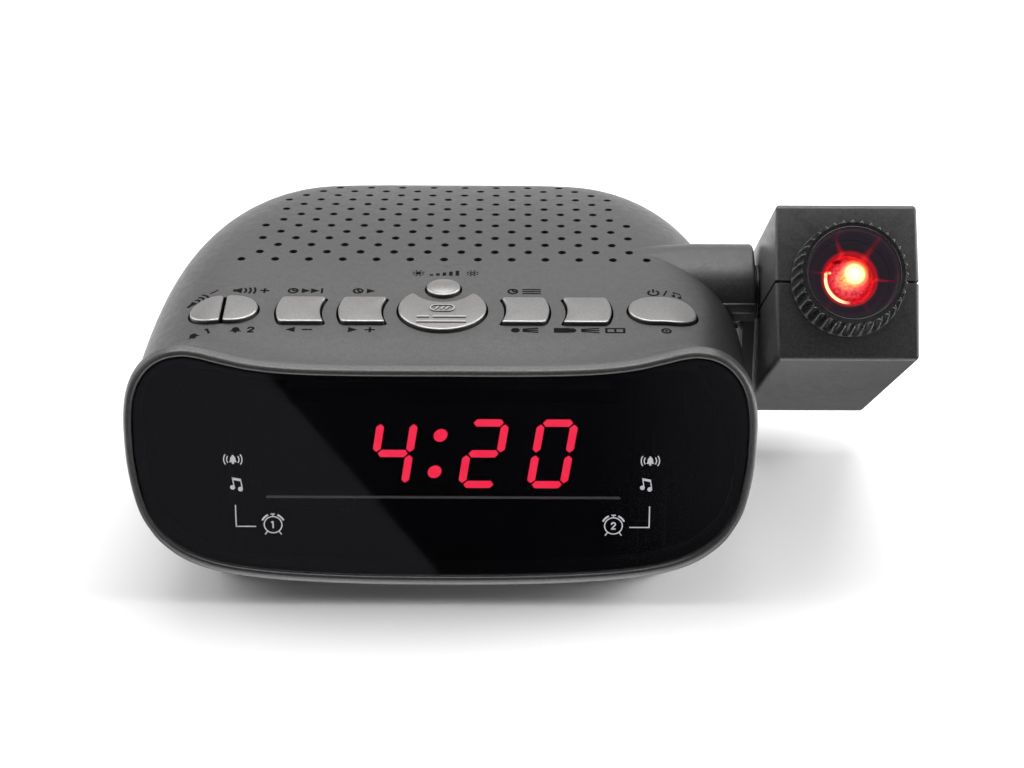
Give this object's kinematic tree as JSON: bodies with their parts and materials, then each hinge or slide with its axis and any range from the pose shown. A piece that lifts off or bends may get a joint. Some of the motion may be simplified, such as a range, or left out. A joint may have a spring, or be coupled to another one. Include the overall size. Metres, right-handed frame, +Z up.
{
  "type": "projection alarm clock",
  "caption": "Bedside clock with a domed speaker top, sloping key row, dark curved-edge display window and a tilting side projector with a focus ring.",
  "frame": {"origin": "centre of the footprint of the whole part, on the surface that the feet stand on", "axes": "+Z up; -Y is the front, where the display window faces; +X is towards the projector head"},
  "size_m": [0.1994, 0.1446, 0.0972],
  "materials": {
    "case_top": "fine metallic charcoal",
    "case_bottom": "moulded, slight grain",
    "bezel": "satin metallic charcoal",
    "window": "polished smoked window",
    "reflector": "matt black",
    "segments": "lit red",
    "board": "solder mask",
    "keys": "satin warm silver paint",
    "steel": "plated steel",
    "cone": "black paper",
    "rubber": "matt black",
    "plated": "nickel plated",
    "ring": "ribbed black",
    "lens": "red tinted, polished",
    "glass": "clear"
  },
  "bodies": {
    "clock_body": {"top_shell": "case_top", "bottom_shell": "case_bottom", "front_bezel": "bezel", "display_window": "window", "display_housing": "reflector", "digit_segments": "segments", "main_board": "board", "key_board": "board", "speaker": "steel", "speaker_cone": "cone", "transformer": "steel", "cord_gland": "rubber", "battery_contacts": "plated", "rubber_feet": "rubber", "case_screws": "plated", "friction_washer": "plated", "speaker_screws": "plated", "board_screws": "plated"},
    "projector_head": {"pivot_tube": "case_top", "projector_upper_shell": "case_top", "projector_lower_shell": "case_top", "lcd_panel": "glass", "condenser_lens": "glass", "optics_holder": "ring", "projector_led_board": "board"},
    "focus_ring": {"focus_ring": "ring"},
    "lens_carrier": {"lens_barrel": "ring", "projection_lens": "lens"},
    "battery_door": {"battery_door": "case_bottom"},
    "button_snooze": {"button_snooze": "keys"},
    "button_dimmer": {"button_dimmer": "keys"},
    "button_alarm_1": {"button_alarm_1": "keys"},
    "button_alarm_2": {"button_alarm_2": "keys"},
    "button_hour": {"button_hour": "keys"},
    "button_minute": {"button_minute": "keys"},
    "button_time": {"button_time": "keys"},
    "button_projection": {"button_projection": "keys"},
    "button_function": {"button_function": "keys"}
  },
  "joints": [
    {"name": "projector_tilt", "type": "hinge", "parent": "clock_body", "child": "projector_head", "pos_m": [0.0618, -0.00428, 0.05825], "axis": [-1, 0, 0], "range_deg": [-33, 147]},
    {"name": "focus_turn", "type": "hinge", "parent": "projector_head", "child": "focus_ring", "pos_m": [0.0816, -0.04831, 0.07969], "axis": [0, -0.8387, 0.5446], "range_deg": [-120, 120]},
    {"name": "lens_focus", "type": "slide", "parent": "projector_head", "child": "lens_carrier", "axis": [0, -0.8387, 0.5446], "range_m": [-0.00209, 0.00209]},
    {"name": "battery_door_slide", "type": "slide", "parent": "clock_body", "child": "battery_door", "axis": [0, 1, 0], "range_m": [0, 0.008]},
    {"name": "button_snooze_press", "type": "slide", "parent": "clock_body", "child": "button_snooze", "axis": [0, 0.0976, -0.9952], "range_m": [0, 0.0007], "stiffness_N_per_m": 900, "springref_m": -0.0005},
    {"name": "button_dimmer_press", "type": "slide", "parent": "clock_body", "child": "button_dimmer", "axis": [0, 0.0976, -0.9952], "range_m": [0, 0.0007], "stiffness_N_per_m": 900, "springref_m": -0.0005},
    {"name": "button_alarm_1_press", "type": "slide", "parent": "clock_body", "child": "button_alarm_1", "axis": [0, 0.0976, -0.9952], "range_m": [0, 0.0007], "stiffness_N_per_m": 900, "springref_m": -0.0005},
    {"name": "button_alarm_2_press", "type": "slide", "parent": "clock_body", "child": "button_alarm_2", "axis": [0, 0.0976, -0.9952], "range_m": [0, 0.0007], "stiffness_N_per_m": 900, "springref_m": -0.0005},
    {"name": "button_hour_press", "type": "slide", "parent": "clock_body", "child": "button_hour", "axis": [0, 0.0976, -0.9952], "range_m": [0, 0.0007], "stiffness_N_per_m": 900, "springref_m": -0.0005},
    {"name": "button_minute_press", "type": "slide", "parent": "clock_body", "child": "button_minute", "axis": [0, 0.0976, -0.9952], "range_m": [0, 0.0007], "stiffness_N_per_m": 900, "springref_m": -0.0005},
    {"name": "button_time_press", "type": "slide", "parent": "clock_body", "child": "button_time", "axis": [0, 0.0976, -0.9952], "range_m": [0, 0.0007], "stiffness_N_per_m": 900, "springref_m": -0.0005},
    {"name": "button_projection_press", "type": "slide", "parent": "clock_body", "child": "button_projection", "axis": [0, 0.0976, -0.9952], "range_m": [0, 0.0007], "stiffness_N_per_m": 900, "springref_m": -0.0005},
    {"name": "button_function_press", "type": "slide", "parent": "clock_body", "child": "button_function", "axis": [0, 0.0976, -0.9952], "range_m": [0, 0.0007], "stiffness_N_per_m": 900, "springref_m": -0.0005}
  ],
  "couplings": [
    {"joint": "focus_turn", "follows": "lens_focus", "rad_per_m": 1000}
  ]
}
